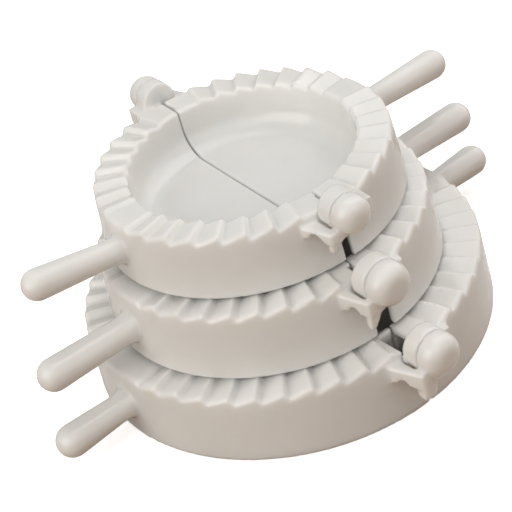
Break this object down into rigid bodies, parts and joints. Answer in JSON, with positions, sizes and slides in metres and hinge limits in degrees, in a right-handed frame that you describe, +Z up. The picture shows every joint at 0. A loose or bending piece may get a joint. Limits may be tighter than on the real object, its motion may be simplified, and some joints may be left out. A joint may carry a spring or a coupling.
{
  "type": "empanada press",
  "caption": "White plastic folding presses in nesting sizes, opened flat and stacked, for sealing filled rounds of dough with a saw-toothed rim.",
  "frame": {"origin": "on the table under the middle of the largest press", "axes": "+X along the handles, towards the half that folds; +Y along the hinge line, away from the viewer of the picture; +Z up"},
  "size_m": [0.1486, 0.1272, 0.0594],
  "materials": {
    "white_polypropylene": "moulded gloss"
  },
  "bodies": {
    "large_left": {"large_left_half": "white_polypropylene"},
    "large_right": {"large_right_half": "white_polypropylene"},
    "middle_left": {"middle_left_half": "white_polypropylene"},
    "middle_right": {"middle_right_half": "white_polypropylene"},
    "small_left": {"small_left_half": "white_polypropylene"},
    "small_right": {"small_right_half": "white_polypropylene"}
  },
  "joints": [
    {"name": "large_fold", "type": "hinge", "parent": "large_left", "child": "large_right", "pos_m": [0, 0, 0.0188], "axis": [0, -1, 0], "range_deg": [0, 180]},
    {"name": "middle_lift", "type": "slide", "parent": "large_left", "child": "middle_left", "axis": [0, 0, 1], "range_m": [0, 0.18849]},
    {"name": "middle_fold", "type": "hinge", "parent": "middle_left", "child": "middle_right", "pos_m": [-0.0017, -0.00088, 0.03765], "axis": [-0.0297, -0.9996, 0], "range_deg": [0, 180]},
    {"name": "small_lift", "type": "slide", "parent": "middle_left", "child": "small_left", "axis": [0, 0, 1], "range_m": [0, 0.18849]},
    {"name": "small_fold", "type": "hinge", "parent": "small_left", "child": "small_right", "pos_m": [-0.00086, 0.00191, 0.0546], "axis": [-0.0602, -0.9982, 0], "range_deg": [0, 180]}
  ],
  "couplings": [
    {"joint": "large_fold", "follows": "middle_lift", "rad_per_m": 16.667},
    {"joint": "middle_fold", "follows": "small_lift", "rad_per_m": 16.667}
  ]
}
